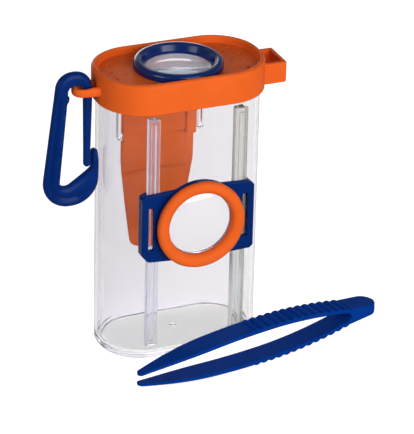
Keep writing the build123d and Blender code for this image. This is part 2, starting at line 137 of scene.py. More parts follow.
def mould(name, surface):
    """Mesh of a closed surface given in millimetres, welded, with its faces turned outwards."""
    points, faces = surface
    mesh = bpy.data.meshes.new(name)
    mesh.from_pydata((points * MM).tolist(), [], faces)
    work = bmesh.new()
    work.from_mesh(mesh)
    bmesh.ops.remove_doubles(work, verts=work.verts, dist=WELD)
    bmesh.ops.dissolve_degenerate(work, dist=SLIVER, edges=work.edges)
    bmesh.ops.recalc_face_normals(work, faces=work.faces)
    work.to_mesh(mesh)
    work.free()
    return mesh


def cleaned(mesh):
    """The mesh without repeated points and slivers, with faces of over four corners cut into triangles."""
    work = bmesh.new()
    work.from_mesh(mesh)
    bmesh.ops.remove_doubles(work, verts=work.verts, dist=WELD)
    bmesh.ops.dissolve_degenerate(work, dist=WELD, edges=work.edges)
    bmesh.ops.triangulate(work, faces=[face for face in work.faces if len(face.verts) > 4])
    bmesh.ops.dissolve_degenerate(work, dist=WELD, edges=work.edges)
    work.to_mesh(mesh)
    work.free()
    return mesh


def joined(name, base, adds=(), cuts=()):
    """One mesh: the base with the adds merged in and then the cuts taken out.
    Cuts reach a few millimetres past the base, so that no two faces lie in one plane.
    """
    made = bpy.data.objects.new(name, base)
    bpy.context.collection.objects.link(made)
    tools = []
    for operation, meshes in (("UNION", adds), ("DIFFERENCE", cuts)):
        for mesh in meshes:
            tool = bpy.data.objects.new(mesh.name, mesh)
            bpy.context.collection.objects.link(tool)
            tools.append(tool)
            step = made.modifiers.new(mesh.name, "BOOLEAN")
            step.operation = operation
            step.object = tool
            step.solver = "EXACT"
    view = bpy.context.evaluated_depsgraph_get()
    done = bpy.data.meshes.new_from_object(made.evaluated_get(view))
    done.name = name
    for spent in [made, *tools]:
        bpy.data.objects.remove(spent)
    return cleaned(done)


def show(name, mesh, material, nodes, soft_edge=32):
    """A finished piece: smooth where faces meet under soft_edge degrees, standing for its CAD nodes."""
    piece = bpy.data.objects.new(name, mesh)
    bpy.context.collection.objects.link(piece)
    mesh.materials.clear()
    mesh.materials.append(material)
    mesh.polygons.foreach_set("use_smooth", np.ones(len(mesh.polygons), bool))
    mesh.set_sharp_from_angle(angle=np.radians(soft_edge))
    even = piece.modifiers.new("even_normals", "WEIGHTED_NORMAL")
    even.keep_sharp = True
    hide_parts(*nodes)
    return piece


# Reach and stops of the tint ramp across the jar in X, which paints shade and light by place.
PAINTED_SHADE_REACH = 40.0
PAINTED_SHADE_STOPS = (0.15, 1.0)
FLOW_SHARE = 0.3


def clear_plastic(name, painted_shade_tints, clarity, shade, ior, wave, sheen):
    """Clear moulding that bends light and lets lamps through to what is behind it, with haze and flow waves.
    Its tint drifts from the first to the second across the jar, painted shade and light by place, with the
    flow of the plastic added.
    """
    material = bpy.data.materials.new(name)
    material.use_nodes = True
    nodes, links = material.node_tree.nodes, material.node_tree.links
    glass = nodes["Principled BSDF"]
    glass.inputs["Transmission Weight"].default_value = clarity
    glass.inputs["IOR"].default_value = ior
    glass.inputs["Specular Tint"].default_value = (*sheen, 1)
    place = nodes.new("ShaderNodeTexCoord")
    flow = nodes.new("ShaderNodeTexNoise")
    flow.inputs["Scale"].default_value = 45
    flow.inputs["Detail"].default_value = 2
    parts = nodes.new("ShaderNodeSeparateXYZ")
    across = nodes.new("ShaderNodeMapRange")
    across.inputs["From Min"].default_value = -PAINTED_SHADE_REACH * MM
    across.inputs["From Max"].default_value = PAINTED_SHADE_REACH * MM
    stray = nodes.new("ShaderNodeMath")
    stray.operation = "MULTIPLY_ADD"
    stray.inputs[1].default_value = FLOW_SHARE
    # Painted shade and light: the tint ramps with X, with a little random flow added.
    drift = nodes.new("ShaderNodeValToRGB")
    for stop, position, tint in zip(drift.color_ramp.elements, PAINTED_SHADE_STOPS, painted_shade_tints):
        stop.position = position
        stop.color = (*tint, 1)
    links.new(place.outputs["Object"], parts.inputs["Vector"])
    links.new(parts.outputs["X"], across.inputs["Value"])
    links.new(flow.outputs["Fac"], stray.inputs[0])
    links.new(across.outputs["Result"], stray.inputs[2])
    links.new(stray.outputs["Value"], drift.inputs["Fac"])
    links.new(drift.outputs["Color"], glass.inputs["Base Color"])
    haze = nodes.new("ShaderNodeMapRange")
    haze.inputs["To Min"].default_value = 0.0
    haze.inputs["To Max"].default_value = 0.04
    ripple = nodes.new("ShaderNodeBump")
    ripple.inputs["Strength"].default_value = wave
    ripple.inputs["Distance"].default_value = 0.4 * MM
    links.new(place.outputs["Object"], flow.inputs["Vector"])
    links.new(flow.outputs["Fac"], haze.inputs["Value"])
    links.new(flow.outputs["Fac"], ripple.inputs["Height"])
    links.new(haze.outputs["Result"], glass.inputs["Roughness"])
    links.new(ripple.outputs["Normal"], glass.inputs["Normal"])
    path = nodes.new("ShaderNodeLightPath")
    through = nodes.new("ShaderNodeBsdfTransparent")
    through.inputs["Color"].default_value = (*shade, 1)
    choice = nodes.new("ShaderNodeMixShader")
    links.new(path.outputs["Is Shadow Ray"], choice.inputs["Fac"])
    links.new(glass.outputs["BSDF"], choice.inputs[1])
    links.new(through.outputs["BSDF"], choice.inputs[2])
    links.new(choice.outputs["Shader"], nodes["Material Output"].inputs["Surface"])
    return material


plan_centres, plan_ways = rounded_plan(JAR_LENGTH / 2, JAR_WIDTH / 2, JAR_CORNER)


def swept_wall(section):
    """Carries a wall section (margin, height) round the jar's plan.
    A point is corner centre + (corner radius + margin) * way.
    """
    plan = plan_centres + (JAR_CORNER + section[:, :1, None]) * plan_ways
    height = np.broadcast_to(section[:, 1:, None], (*plan.shape[:2], 1))
    return skin(np.concatenate([plan, height], axis=2))


def edged_block(x, y, z, edge, upright=0.0):
    """A block given by its ranges: rounded plan rings, drawn in by a quarter circle at both ends.
    Its upright corners have a radius of their own, or one just over the edge's.
    """
    turn = arc_angles(4, 0)
    inset = edge * np.concatenate([1 - np.sin(turn), 1 - np.cos(turn)])
    height = np.concatenate([z[0] + edge * (1 - np.cos(turn)), z[1] - edge * (1 - np.sin(turn))])
    radius = max(upright, edge * 1.01)
    centres, ways = rounded_plan((x[1] - x[0]) / 2, (y[1] - y[0]) / 2, radius, steps=4)
    plan = centres + (radius - inset[:, None, None]) * ways + (sum(x) / 2, sum(y) / 2)
    height = np.broadcast_to(height[:, None, None], (*plan.shape[:2], 1))
    return skin(np.concatenate([plan, height], axis=2))


def both_sides(name, *surfaces):
    """Meshes of surfaces and of their mirror images on the other side of the jar's middle plane."""
    pairs = [(points * (way, 1, 1), faces) for points, faces in surfaces for way in (1, -1)]
    return [mould(f"{name}_{i}", surface) for i, surface in enumerate(pairs)]


def moved(surface, by):
    """The surface shifted by a vector."""
    points, faces = surface
    return points + np.array(by), faces


FLOOR_PATCH = 18.0
RAIL_TOP = 127.0
RAIL_FOOT = 9.0
RAIL_X = (18.9, 25.3)
RAIL_WEB_X = (18.9, 24.2)
RAIL_OUTER = FRONT - 3.5
RAIL_FLANGE = 1.6
RAIL_EDGE = 0.75
GROOVE_X = (20.9, 23.3)
GROOVE_END = 2.5
IN_WALL = 21.2
GUIDE_X = (19.45, 22.45)
GUIDE_FOOT = 96.0
GUIDE_OUTER = BACK + 5.0
GUIDE_GROOVE_Y = (24.4, 26.4)
GUIDE_GROOVE_X = 20.45
jar_wall = rounded_line([(-FLOOR_PATCH, 0, 0), (0, 0, 1.2), (0, JAR_TOP, 0.7), (-JAR_WALL, JAR_TOP, 0.7),
                         (-JAR_WALL, JAR_FLOOR, 3.0), (-FLOOR_PATCH, JAR_FLOOR, 0)])
rail = [edged_block(RAIL_WEB_X, (RAIL_OUTER + RAIL_FLANGE / 2, -IN_WALL), (RAIL_FOOT, RAIL_TOP), edge=1.0),
        edged_block(RAIL_X, (RAIL_OUTER, RAIL_OUTER + RAIL_FLANGE), (RAIL_FOOT, RAIL_TOP), RAIL_EDGE)]
groove = edged_block(GROOVE_X, (RAIL_OUTER - 2, RAIL_OUTER + RAIL_FLANGE),
                     (RAIL_FOOT + GROOVE_END, RAIL_TOP - GROOVE_END), edge=0.3)
guide = edged_block(GUIDE_X, (IN_WALL, GUIDE_OUTER), (GUIDE_FOOT, RAIL_TOP), edge=1.2)
guide_groove = edged_block((GUIDE_X[0] - 2, GUIDE_GROOVE_X), GUIDE_GROOVE_Y,
                           (GUIDE_FOOT - 4, RAIL_TOP + 4), edge=0.1)
GATE_MARK_R = 1.7
GATE_MARK_HEIGHT = 0.7
GATE_MARK_AT = (0.3, 2.5, 0)
gate_mark_range = (-GATE_MARK_R, GATE_MARK_R)
gate_mark = edged_block(gate_mark_range, gate_mark_range, (JAR_FLOOR - 1, JAR_FLOOR + GATE_MARK_HEIGHT),
                        edge=0.6, upright=GATE_MARK_R - 0.05)
adds = [mould("gate_mark", moved(gate_mark, GATE_MARK_AT)), *both_sides("jar_add", *rail, guide)]
cuts = both_sides("jar_cut", groove, guide_groove)
jar_mesh = joined("clear_jar", mould("jar_shell", swept_wall(jar_wall)), adds, cuts)
JAR_FINISH = {"shade": (0.89, 0.89, 0.91), "ior": 1.5, "wave": 0.04, "sheen": (0.15, 0.15, 0.18)}
# Painted shade and light in the tints: the jar's left end darker than its right end, the left rail lavender
# and the right rail darker grey-green.
jar_plastics = [clear_plastic(name, painted_shade_tints, clarity, **JAR_FINISH) for name, painted_shade_tints, clarity in (
    ("clear_polystyrene", ((0.785, 0.775, 0.80), (0.86, 0.85, 0.865)), 0.997),
    ("hazy_polystyrene", ((0.68, 0.66, 0.80), (0.50, 0.53, 0.47)), 0.74),
    ("frosted_polystyrene", ((0.94, 0.93, 0.99), (0.95, 0.95, 0.98)), 0.3),
    ("darker_floor_polystyrene", ((0.68, 0.69, 0.675), (0.66, 0.665, 0.64)), 0.985))]
CLEAR, HAZY, FROSTED, DARKER_FLOOR = range(4)
jar = show("clear_jar", jar_mesh, jar_plastics[CLEAR], ["jar"])
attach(jar, "jar")
for plastic in jar_plastics[HAZY:]:
    jar_mesh.materials.append(plastic)
# Each face of the jar gets its finish by where it lies and which way it faces; the floor's faces get a
# darker, grey-green tint.
SIDE_FACING, FLAT_FACING = 0.6, 0.95
face_at, face_way = np.zeros(len(jar_mesh.polygons) * 3), np.zeros(len(jar_mesh.polygons) * 3)
jar_mesh.polygons.foreach_get("center", face_at)
jar_mesh.polygons.foreach_get("normal", face_way)
face_at, face_way = face_at.reshape(-1, 3) / MM, np.abs(face_way.reshape(-1, 3))
on_rail = face_at[:, 1] < FRONT - 0.2
on_base = face_at[:, 2] < JAR_FLOOR + 0.1
rail_side = on_rail & (face_way[:, 0] > SIDE_FACING)
base_rim = on_base & (face_way[:, 2] < FLAT_FACING)
finish = np.where(on_base, DARKER_FLOOR, CLEAR)
finish[on_rail] = HAZY
finish[rail_side | base_rim] = FROSTED
jar_mesh.polygons.foreach_set("material_index", finish.astype(np.int32))


# Lid: an orange satin cap that snaps over the jar's mouth. It has a raised rim round a sunk tray with air
# holes, an eyelet for the hook at one end and an open sleeve for the tweezers at the other.
LID_GAP = 0.3
LID_MARGIN = 2.2
SKIRT_Z = 128.7
LID_UNDER = JAR_TOP + 0.2
TRAY_Z = LID_UNDER + 2.0
LID_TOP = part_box("lid")[1].z / MM
RIM_INSIDE = -0.4
LENS_R = 17.2
SEAT_R = LENS_R + 0.15
LENS_HOLE_R = LENS_R - 1.4
LENS_SEAT = 0.8


def lathe(profile, steps=96, closed=False):
    """Turns a profile (radius, height) about Z: point = (r cos t, r sin t, h)."""
    turn = np.linspace(0, 2 * np.pi, steps, endpoint=False)
    radius, height = profile[:, :1], profile[:, 1:]
    flat = np.broadcast_to(height, (len(profile), steps))
    rings = np.stack([radius * np.cos(turn), radius * np.sin(turn), flat], axis=2)
    return skin(rings, looped=closed)


VALLEY_AT, VALLEY_SPREAD = 0.16, 0.3


def swept_bar(left, right, half_height, up, power, steps=24, valley=0.0):
    """Bar between two side lines: middle + half the gap * c(t) + up * half height * s(t).
    c and s are those of a superellipse. A valley lowers both faces by that share of s, times
    exp(-((c - its place) / its spread)^2).
    """
    turn = np.linspace(0, 2 * np.pi, steps, endpoint=False)
    across = np.sign(np.cos(turn)) * np.abs(np.cos(turn)) ** (2 / power)
    along = np.sign(np.sin(turn)) * np.abs(np.sin(turn)) ** (2 / power)
    bell = np.exp(-((across - VALLEY_AT) / VALLEY_SPREAD) ** 2)
    depth = np.broadcast_to(valley, len(left))[:, None] * bell
    height = np.broadcast_to(half_height, len(left))[:, None] * along * (1 - depth)
    middle, half = (left + right) / 2, (left - right) / 2
    sideways = half[:, None] * across[:, None]
    return skin(middle[:, None] + sideways + height[:, :, None] * np.array(up, float))


def moulded_plastic(name, colour, deep, roughness, grain, sheen):
    """Moulded plastic: a drift between two close tones, a little change of gloss and a fine mould grain."""
    material = bpy.data.materials.new(name)
    material.use_nodes = True
    nodes, links = material.node_tree.nodes, material.node_tree.links
    shader = nodes["Principled BSDF"]
    shader.inputs["Specular IOR Level"].default_value = sheen
    place = nodes.new("ShaderNodeTexCoord")
    drift = nodes.new("ShaderNodeTexNoise")
    drift.inputs["Scale"].default_value = 70
    drift.inputs["Detail"].default_value = 3
    tone = nodes.new("ShaderNodeValToRGB")
    tone.color_ramp.elements[0].position = 0.3
    tone.color_ramp.elements[0].color = (*deep, 1)
    tone.color_ramp.elements[1].position = 0.7
    tone.color_ramp.elements[1].color = (*colour, 1)
    skin_noise = nodes.new("ShaderNodeTexNoise")
    skin_noise.inputs["Scale"].default_value = 2600
    skin_noise.inputs["Detail"].default_value = 2
    gloss = nodes.new("ShaderNodeMapRange")
    gloss.inputs["To Min"].default_value = roughness - 0.05
    gloss.inputs["To Max"].default_value = roughness + 0.06
    bump = nodes.new("ShaderNodeBump")
    bump.inputs["Strength"].default_value = grain
    bump.inputs["Distance"].default_value = 0.05 * MM
    links.new(place.outputs["Object"], drift.inputs["Vector"])
    links.new(place.outputs["Object"], skin_noise.inputs["Vector"])
    links.new(drift.outputs["Fac"], tone.inputs["Fac"])
    links.new(tone.outputs["Color"], shader.inputs["Base Color"])
    links.new(drift.outputs["Fac"], gloss.inputs["Value"])
    links.new(gloss.outputs["Result"], shader.inputs["Roughness"])
    links.new(skin_noise.outputs["Fac"], bump.inputs["Height"])
    links.new(bump.outputs["Normal"], shader.inputs["Normal"])
    return material


lid_wall = rounded_line([(-FLOOR_PATCH, LID_UNDER, 0), (LID_GAP, LID_UNDER, 0.4), (LID_GAP, SKIRT_Z, 0.3),
                         (LID_MARGIN, SKIRT_Z, 0.6), (LID_MARGIN, LID_TOP, 1.65), (RIM_INSIDE, LID_TOP, 0.85),
                         (RIM_INSIDE, TRAY_Z, 1.0), (-FLOOR_PATCH, TRAY_Z, 0)])

EYELET_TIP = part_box("lid")[0].x / MM
EYELET_Z = 135.65
EYELET_HALF_WIDTH = 5.4
EYELET_BAR = 2.0
EYELET_BEND = 5.2
EYELET_HALF_HEIGHT = 2.05
EYELET_ROOT = -40.4
EYELET_FLARE, EYELET_FLARE_REACH = 0.9, 2.4
eyelet_line = [(EYELET_ROOT, -1, 0), (EYELET_TIP, -1, 1), (EYELET_TIP, 1, 1), (EYELET_ROOT, 1, 0)]


def eyelet_side(inset, radius):
    """One edge of the eyelet's loop, drawn in from its outline, with rounded outer corners."""
    half = EYELET_HALF_WIDTH - inset
    corners = [(max(x, EYELET_TIP + inset), side * half, turn * radius) for x, side, turn in eyelet_line]
    line = rounded_line(corners, steps=10)
    return np.column_stack([line, np.full(len(line), EYELET_Z)])


eyelet_outer, eyelet_inner = eyelet_side(0, EYELET_BEND), eyelet_side(EYELET_BAR, EYELET_BEND - EYELET_BAR)
root_flare = EYELET_FLARE * np.exp(-((eyelet_outer[:, 0] - EYELET_ROOT) / EYELET_FLARE_REACH) ** 2)
eyelet_flare = np.sign(eyelet_outer[:, 1]) * root_flare
eyelet_outer[:, 1] += eyelet_flare
eyelet_inner[:, 1] -= eyelet_flare
eyelet = swept_bar(eyelet_outer, eyelet_inner, EYELET_HALF_HEIGHT + root_flare / 2, up=(0, 0, 1),
                   power=2.2)

SOCKET_X = (40.0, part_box("lid")[1].x / MM + 0.5)
SOCKET_HALF = 9.2
SOCKET_TOP = 139.1
SOCKET_WALL = 1.8
SOCKET_INSIDE = SOCKET_HALF - SOCKET_WALL
sleeve_outside = edged_block(SOCKET_X, (-SOCKET_HALF, SOCKET_HALF), (SKIRT_Z, SOCKET_TOP),
                             edge=0.4, upright=0.8)
sleeve_inside = edged_block((30, SOCKET_X[1] - SOCKET_WALL), (-SOCKET_INSIDE, SOCKET_INSIDE),
                            (SKIRT_Z - 5, SOCKET_TOP + 5), edge=0.1, upright=0.8)
sleeve = joined("tweezers_sleeve", mould("sleeve_outside", sleeve_outside),
                cuts=[mould("sleeve_inside", sleeve_inside)])

AIR_HOLE = np.array([(0, -4), (1.0, -4), (1.0, 1.15), (1.2, 1.35), (1.2, 3), (0, 3)])
AIR_HOLE_Z = TRAY_Z - 1.3
AIR_ROWS = ((26.8, (-19.5, 0, 19.5)), (33.0, (-21.75, -7.25, 7.25, 21.75)))
hole_places = [(radius * np.cos(turn), radius * np.sin(turn), AIR_HOLE_Z) for radius, angles in AIR_ROWS
               for turn in np.radians([end + angle for end in (0, 180) for angle in angles])]
air_holes = [mould(f"air_hole_{i}", moved(lathe(AIR_HOLE, 20), at)) for i, at in enumerate(hole_places)]
LENS_HOLE = np.array([(0, LID_UNDER - 2), (LENS_HOLE_R, LID_UNDER - 2), (LENS_HOLE_R, TRAY_Z - LENS_SEAT),
                      (SEAT_R, TRAY_Z - LENS_SEAT), (SEAT_R, TRAY_Z + 2), (0, TRAY_Z + 2)])
orange = moulded_plastic("orange_moulding", (0.87, 0.138, 0.020), (0.81, 0.122, 0.016),
                         roughness=0.36, grain=0.12, sheen=0.03)
lid_mesh = joined("orange_lid", mould("lid_cap", swept_wall(lid_wall)), [mould("eyelet", eyelet), sleeve],
                  [mould("lens_hole", lathe(LENS_HOLE)), *air_holes])
lid = show("orange_lid", lid_mesh, orange, ["lid"])
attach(lid, "lid")


# Lid lens and bezel: a clear domed lens lies in the tray's seat and a glossy blue ring is pressed in over
# its flange. The ring has a fat outer roll, a shallow groove and a thin skirt inside the flange.
LENS_EDGE = 1.6
LENS_CHAMFER = 0.2
LENS_DOME = 2.2
LENS_BODY_R = 15.75
LENS_BODY_Z = -1.2
DOME_R = 15.95
DOME_FOOT = 0.35
RECESS_R = 16.35
SKIRT_R = (16.0, 16.3)


def lens_profile():
    """Flat back, plain flange and a sunk cap of a sphere: height = sqrt(R^2 - r^2) - (R - dome) + foot."""
    sphere = (DOME_R ** 2 + LENS_DOME ** 2) / (2 * LENS_DOME)
    radius = np.linspace(DOME_R, 0, 28)
    dome = np.sqrt(sphere ** 2 - radius ** 2) - (sphere - LENS_DOME) + DOME_FOOT
    flange = [(0, LENS_BODY_Z), (LENS_BODY_R, LENS_BODY_Z), (LENS_BODY_R, 0), (LENS_R - LENS_CHAMFER, 0),
              (LENS_R, LENS_CHAMFER), (LENS_R, LENS_EDGE - LENS_CHAMFER), (LENS_R - LENS_CHAMFER, LENS_EDGE),
              (RECESS_R, LENS_EDGE), (RECESS_R, DOME_FOOT)]
    return np.concatenate([flange, np.column_stack([radius, dome])])


LENS_FINISH = {"shade": (0.94, 0.94, 0.96), "ior": 1.49, "wave": 0.0, "sheen": (1, 1, 1)}
# Painted reflection: the lid lens gets a pale blue tint for the blue-grey that reflections give it; the front
# lens of the same pattern stays clear.
lid_lens_plastic = clear_plastic("lens_with_painted_blue_reflection", ((0.74, 0.86, 0.98), (0.78, 0.88, 0.99)),
                                 clarity=0.82, **LENS_FINISH)
lens_shader = lid_lens_plastic.node_tree.nodes["Principled BSDF"]
lens_shader.inputs["Sheen Weight"].default_value = 1.0
lens_shader.inputs["Sheen Roughness"].default_value = 0.4
lens_shader.inputs["Sheen Tint"].default_value = (0.9, 0.94, 1.0, 1)
lid_lens_mesh = mould("lid_lens", moved(lathe(lens_profile()), (0, 0, TRAY_Z - LENS_SEAT)))
lid_lens_piece = show("domed_lid_lens", lid_lens_mesh, lid_lens_plastic, ["lid_lens"])
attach(lid_lens_piece, "lid")

DEEP_NAVY = (0.0005, 0.019, 0.138)
SHADED_BEZEL_NAVY = (0.0004, 0.014, 0.110)
# Painted shade: the bezel takes darker tones of the same navy than the other blue parts, for the shade on its
# top.
shaded_bezel_blue = moulded_plastic("polished_navy_with_painted_shade", DEEP_NAVY, SHADED_BEZEL_NAVY,
                             roughness=0.19, grain=0.03, sheen=0.36)
bezel_section = rounded_line([(SEAT_R, 0, 0), (21.3, 0, 0.2), (21.3, 4.2, 2.1), (18.5, 4.2, 0.7),
                              (18.0, 3.6, 0.2), (17.5, 3.8, 0.4), (SKIRT_R[0], 1.0, 0.3),
                              (SKIRT_R[0], -0.4, 0), (SKIRT_R[1], -0.4, 0), (SKIRT_R[1], 0.85, 0),
                              (SEAT_R, 0.85, 0)], closed=True)
RING_STEPS = 128
bezel_mesh = mould("bezel", moved(lathe(bezel_section, RING_STEPS, closed=True), (0, 0, TRAY_Z)))
bezel = show("blue_lens_bezel", bezel_mesh, shaded_bezel_blue, ["lid_bezel"])
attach(bezel, "lid")


# Slider: a blue carriage plate whose two ends fold back round the rails and hook behind their flanges.
# A round boss in front carries the lens, and a long slot lies over each rail.
MAGNIFIER_Z = 72.5
PLATE_FRONT = FRONT - 5.8
PLATE_BACK = FRONT - 3.8
SLIDER_END = 28.4
SLIDER_WALL = 25.6
SLIDER_LIP = 1.1
LIP_FRONT = FRONT - 1.6
PLATE_EDGE = 0.5
PLATE_GAP = 0.3
BOSS_R = 21.3
BOSS_FOOT = -1.5
BOSS_HEIGHT = 0.9


def on_front(surface):
    """Turns a surface made about Z to face forwards from the slider: (x, y, h) becomes (x, -h, y)."""
    points, faces = surface
    x, y, height = points.T
    return np.column_stack([x, PLATE_FRONT - height, MAGNIFIER_Z + y]), faces


def edged_plate(line, low, high, edge):
    """Plate of an outline: rings from low to high that draw in along the outline's normals at both rims."""
    turn = arc_angles(4, 0)
    inset = edge * np.concatenate([1 - np.sin(turn), 1 - np.cos(turn)])
    height = np.concatenate([low + edge * (1 - np.cos(turn)), high - edge * (1 - np.sin(turn))])
    way = np.roll(line, -1, axis=0) - np.roll(line, 1, axis=0)
    inward = np.column_stack([-way[:, 1], way[:, 0]]) / np.linalg.norm(way, axis=1, keepdims=True)
    plan = line + inset[:, None, None] * inward
    height = np.broadcast_to(height[:, None, None], (*plan.shape[:2], 1))
    return skin(np.concatenate([plan, height], axis=2))


def without_repeats(line):
    """A closed line without points that repeat their neighbour."""
    gap = np.linalg.norm(line - np.roll(line, 1, axis=0), axis=1)
    return line[gap > TINY]


plate_line = without_repeats(rounded_line(
    [(SLIDER_END, 15.0, 1.5), (26.0, 17.0, 2.0), (0, 18.6, 200), (-26.0, 17.0, 2.0), (-SLIDER_END, 16.0, 1.5),
     (-SLIDER_END, -13.9, 2.0), (-25.2, -17.6, 2.5), (0, -19.4, 120), (26.8, -18.4, 1.0),
     (SLIDER_END, -16.9, 1.0)], closed=True, steps=10))
plate_depth = PLATE_FRONT - (FRONT - PLATE_GAP)
plate = mould("slider_plate", on_front(edged_plate(plate_line, plate_depth, 0, PLATE_EDGE)))
boss_profile = rounded_line([(0, BOSS_FOOT, 0), (BOSS_R, BOSS_FOOT, 0), (BOSS_R, BOSS_HEIGHT, 0.3),
                             (0, BOSS_HEIGHT, 0)])
boss = mould("slider_boss", on_front(lathe(boss_profile)))
beyond = (MAGNIFIER_Z - 40, MAGNIFIER_Z + 40)
behind_plate = edged_block((-SLIDER_WALL, SLIDER_WALL), (PLATE_BACK, LIP_FRONT), beyond, edge=0.3)
lip_end = SLIDER_WALL - SLIDER_LIP
between_hooks = edged_block((-lip_end, lip_end), (FRONT - 3, FRONT + 3), beyond, edge=0.1)
# The aperture has its own number of steps, so that none of its edges runs along an edge of the boss.
APERTURE_STEPS = 95
aperture = lathe(np.array([(0, -9), (LENS_HOLE_R, -9), (LENS_HOLE_R, 5), (0, 5)]), APERTURE_STEPS)
SLOT_X = (22.5, 25.3)
SLOT_Z = (61.0, 83.2)
slots = both_sides("slot", edged_block(SLOT_X, (PLATE_FRONT - 3, PLATE_BACK + 0.6), SLOT_Z, edge=0.3))
slider_cuts = [mould("behind_plate", behind_plate), mould("between_hooks", between_hooks),
               mould("aperture", on_front(aperture)), *slots]
NAVY = (0.0006, 0.022, 0.158)
glossy_blue = moulded_plastic("glossy_navy_moulding", NAVY, DEEP_NAVY, roughness=0.2, grain=0.05, sheen=0.06)
slider_mesh = joined("blue_slider", plate, [boss], slider_cuts)
slider = show("blue_slider", slider_mesh, glossy_blue, ["slider"])
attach(slider, "magnifier")


# Magnifier ring and lens: an orange ring with a round outer roll and a sloping mouth is pressed over the
# boss and holds a second lens of the same pattern.
ring_section = rounded_line([(SKIRT_R[0], 1.3, 0), (SKIRT_R[0], 5.5, 2.9), (22.0, 5.5, 2.25),
                             (22.0, 0.95, 2.2), (SEAT_R, 0.95, 0), (SEAT_R, 2.55, 0), (SKIRT_R[1], 2.55, 0),
                             (SKIRT_R[1], 1.3, 0)], closed=True, steps=10)
ring_mesh = mould("ring", on_front(lathe(ring_section, RING_STEPS, closed=True)))
ring = show("orange_magnifier_ring", ring_mesh, orange, ["magnifier_ring"])
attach(ring, "magnifier")
lens_plastic = clear_plastic("clear_lens", ((0.965, 0.965, 0.985), (0.98, 0.98, 0.99)),
                             clarity=0.95, **LENS_FINISH)
front_lens_mesh = mould("magnifier_lens", on_front(moved(lathe(lens_profile()), (0, 0, BOSS_HEIGHT))))
front_lens = show("domed_magnifier_lens", front_lens_mesh, lens_plastic, ["magnifier_lens"])
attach(front_lens, "magnifier")


# Snap hook: a blue rounded bar bent round the eyelet, with a leaning spine, a heavy heel and a pointed nose.
# Its straight gate is part of the same moulding and springs against the nose.
BAR_X = EYELET_TIP + EYELET_BAR / 2
GATE_X = 6.7
GATE_HALF = 2.1
GATE_DROP = 7.4
NOSE_X = 12.3


def on_bar(line):
    """Places a line drawn in X and Z from the eyelet's bar into the jar's middle plane."""
    return np.column_stack([BAR_X + line[:, 0], np.zeros(len(line)), EYELET_Z + line[:, 1]])


def with_round_end(line, centre, radius, side):
    """Ends a side line in 0.95 of a quarter circle towards the tip, which stays a little flat."""
    turn = np.linspace(0, 0.95 * np.pi / 2, 9)
    x, z = centre[0] + side * radius * np.cos(turn), centre[1] + radius * np.sin(turn)
    return np.concatenate([line[:-1], np.column_stack([x, z])])


PACE = 30


def paced(line, marks):
    """The line with PACE points between each two marks, so that two side lines match mark by mark."""
    run = np.concatenate([[0], np.cumsum(np.linalg.norm(np.diff(line, axis=0), axis=1))])
    fine = np.linspace(0, run[-1], 4000)
    points = np.column_stack([np.interp(fine, run, line[:, axis]) for axis in (0, 1)])
    at = fine[np.argmin(np.linalg.norm(points[:, None] - np.array(marks), axis=2), axis=0)]
    spans = len(marks) - 1
    at = np.interp(np.linspace(0, spans, spans * PACE + 1), np.arange(len(marks)), at)
    return np.column_stack([np.interp(at, run, line[:, axis]) for axis in (0, 1)])


NOSE_TIP = (10.2, -32.4)
NOSE_ROUND = 1.55
HOOK_DROP = 58.8
HOOK_TOP = 9.85
HOOK_START = 0.4 - GATE_DROP
HOOK_HALF = 2.5
gate_out, gate_in = GATE_X + GATE_HALF, GATE_X - GATE_HALF
nose_out, nose_in = (NOSE_TIP[0] + NOSE_ROUND, NOSE_TIP[1]), (NOSE_TIP[0] - NOSE_ROUND, NOSE_TIP[1])
nose_end = (NOSE_TIP[0], NOSE_TIP[1] + NOSE_ROUND)
hook_outer = rounded_line([(gate_out, HOOK_START, 0), (gate_out, HOOK_TOP, 8.6), (-8.2, HOOK_TOP, 8.3),
                           (-17.1, -HOOK_DROP, 13.0), (NOSE_X, -HOOK_DROP, 13.2), (NOSE_X, -36.6, 6.0),
                           (*nose_out, 0)], steps=24)
hook_inner = rounded_line([(gate_in, HOOK_START, 0), (gate_in, 2.6, 2.8), (-2.8, 2.6, 2.8),
                           (-3.4, -6.0, 8.0), (-7.2, -47.7, 2.0), (-3.2, -48.0, 3.0), (8.4, -40.4, 1.5),
                           (*nose_in, 0)], steps=24)
# Marks stand opposite each other on the two side lines: start, bend, spine, heel, nose and tip.
outer_marks = [(8.8, -7.0), (8.8, 1.5), (0.3, HOOK_TOP), (-9.2, 1.0), (-10.2, -6.0), (-13.4, -30.0),
               (-15.2, -44.5), (-2.0, -HOOK_DROP), (9.4, -51.5), (NOSE_X, -41.0), nose_out, nose_end]
inner_marks = [(4.6, -7.0), (4.6, 0.2), (0.9, 2.6), (-2.9, 0.4), (-3.4, -6.0), (-5.6, -30.0), (-6.9, -44.5),
               (-3.4, -47.8), (3.0, -44.0), (8.2, -40.2), nose_in, nose_end]
hook_outer = paced(with_round_end(hook_outer, NOSE_TIP, NOSE_ROUND, 1), outer_marks)
hook_inner = paced(with_round_end(hook_inner, NOSE_TIP, NOSE_ROUND, -1), inner_marks)
NUB_RISE, NUB_Z, NUB_HALF = 0.9, -3.6, 1.7
in_spine = (hook_inner[:, 0] < -1) & (hook_inner[:, 1] < 1)
hook_inner[:, 0] += NUB_RISE * np.exp(-((hook_inner[:, 1] - NUB_Z) / NUB_HALF) ** 4) * in_spine
CHANNEL_DEPTH = 0.55
CHANNEL_TOP, CHANNEL_RUN_IN = -2.6, 1.6
CHANNEL_END, CHANNEL_RUN_OUT = 8.5, 6.0
below_bend = np.clip((CHANNEL_TOP - hook_outer[:, 1]) / CHANNEL_RUN_IN, 0, 1)
before_nose = np.clip((CHANNEL_END - hook_outer[:, 0]) / CHANNEL_RUN_OUT, 0, 1)
past_bend = np.arange(len(hook_outer)) > 3 * PACE
channel = CHANNEL_DEPTH * (below_bend * before_nose) * past_bend


